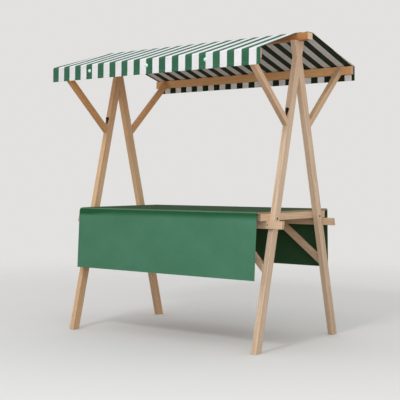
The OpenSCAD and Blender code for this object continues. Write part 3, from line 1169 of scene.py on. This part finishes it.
def makeHook(row, side):
    place = hookPlace(row, side)
    bm = bmesh.new()
    plate = [[place(x, y, height) for x, y in plateOutline(inset)] for inset, height in hookSizes["plateRings"]]
    for rings in (plate, armRings(place)):
        skinRings(bm, [[bm.verts.new(spot) for spot in ring] for ring in rings], closeLast=True)
    ball, out, up = hookSizes["ball"], hookSizes["ballOut"], hookSizes["armFrom"] + hookSizes["bend"]
    profile = [(ball * sin(radians(angle)), -ball * cos(radians(angle)))
               for angle in range(12, 180, 14)]
    latheInto(bm, profile + [(0.0, ball)], 16, lambda x, y, z: place(x, z + out, up + y))
    bmesh.ops.recalc_face_normals(bm, faces=bm.faces)
    rowName, sideName = "Front" if row < 0 else "Rear", "Left" if side < 0 else "Right"
    mesh = meshFrom(bm, "hook" + rowName + sideName, sharp=50)
    piece = newPiece("hook" + rowName + sideName, mesh, [ironMaterial], "black_steel")
    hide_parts("hook_" + rowName.lower() + "_" + sideName.lower())
    for along in hookSizes["screws"]:
        face = hookSizes["plateRings"][-1][1]
        screwSpots.append((place(0, along, face), Vector((0, row * leanCos, leanSin))))


for row in (-1, 1):
    for side in (-1, 1):
        makeHook(row, side)

headPiece("boltHeads", fixings["boltHead"], boltSpots, ironMaterial, "black_steel")
headPiece("boltNuts", fixings["nut"], nutSpots, ironMaterial, "black_steel", 7)
headPiece("screwHeads", fixings["screwHead"], screwSpots, ironMaterial, "black_steel", 9)
print("fixings:", len(boltSpots), "bolts,", len(screwSpots), "screws,", len(capSpots), "caps")

# Stage: a pale floor that fades into the pale surroundings
stage = {
    "radius": 9.0,
    "below": 0.0005,
    "fade": (2.4, 6.5),           # from the middle
    "seen": (226, 225, 223),      # what the camera and reflections see, of the floor and of the surroundings
    "bounce": (132, 120, 110),    # what the floor gives back as light
    "cloud": (1.2, 0.05, (190, 188, 185)),    # scale, strength and color
    "roughness": 0.9,
    "shine": 0.1,
}


def makeStage(settings):
    bm = bmesh.new()
    bmesh.ops.create_circle(bm, cap_ends=True, segments=96, radius=settings["radius"])
    mesh = meshFrom(bm, "floor")
    material, tree, shader = newMaterial("floorPaint")
    place = objectPlace(tree)
    color = mixColor(tree, seenNode(tree), linear(*settings["bounce"]), linear(*settings["seen"]))
    scale, strength, tint = settings["cloud"]
    cloud = groupNode(tree, scuffGroup, {"Place": place, "Scale": scale})["Cloud"]
    setInputs(tree, shader, {
        "Base Color": mixColor(tree, times(tree, cloud, strength), color, linear(*tint)),
        "Roughness": settings["roughness"], "Specular IOR Level": settings["shine"],
        "Alpha": stepNode(tree, vectorNode(tree, "LENGTH", place), *settings["fade"], (1.0, 0.0))})
    floor = addObject("floor", mesh)
    mesh.materials.append(material)
    floor.location.z = -settings["below"]


makeStage(stage)

# Lights: soft surroundings, a key lamp high in front, and a low lamp beside the camera
lights = {
    "world": 0.81,
    "worldUp": (0.98, 0.99, 1.0, 1.0),
    "worldDown": (1.0, 0.96, 0.91, 1.0),
    "upFrom": (0.0, 0.7),    # how far up a direction points, from the one color to the other
    "lamps": {
        "key": {"place": (1.0, -6.2, 7.0), "aim": (0.0, 0.0, 0.9), "size": 1.4, "power": 160,
                "color": (0.97, 0.98, 1.0)},
        "front": {"place": (3.9, -4.2, 1.5), "aim": (0.2, 0.0, 1.0), "size": 2.6, "power": 60,
                  "color": (0.98, 0.99, 1.0)},
    },
}


def makeLights(settings):
    for name, lamp in settings["lamps"].items():
        data = bpy.data.lights.new(name, "AREA")
        data.shape = "DISK"
        data.size, data.energy, data.color = lamp["size"], lamp["power"], lamp["color"]
        light = addObject(name, data)
        light.location = lamp["place"]
        aim = Vector(lamp["aim"]) - light.location
        light.rotation_euler = aim.to_track_quat("-Z", "Y").to_euler()
    world = bpy.data.worlds.new("surroundings")
    scene.world = world
    world.use_nodes = True
    tree = world.node_tree
    direction = separate(tree, addNode(tree, "ShaderNodeTexCoord").outputs["Generated"])
    up = stepNode(tree, direction[2], *settings["upFrom"])
    glow = mixColor(tree, up, settings["worldDown"], settings["worldUp"])
    seen = seenNode(tree)
    setInputs(tree, tree.nodes["Background"].inputs, {
        "Color": mixColor(tree, seen, glow, linear(*stage["seen"])),
        "Strength": timesPlus(tree, seen, 1.0 - settings["world"], settings["world"])})


makeLights(lights)
print("stage and lights set")
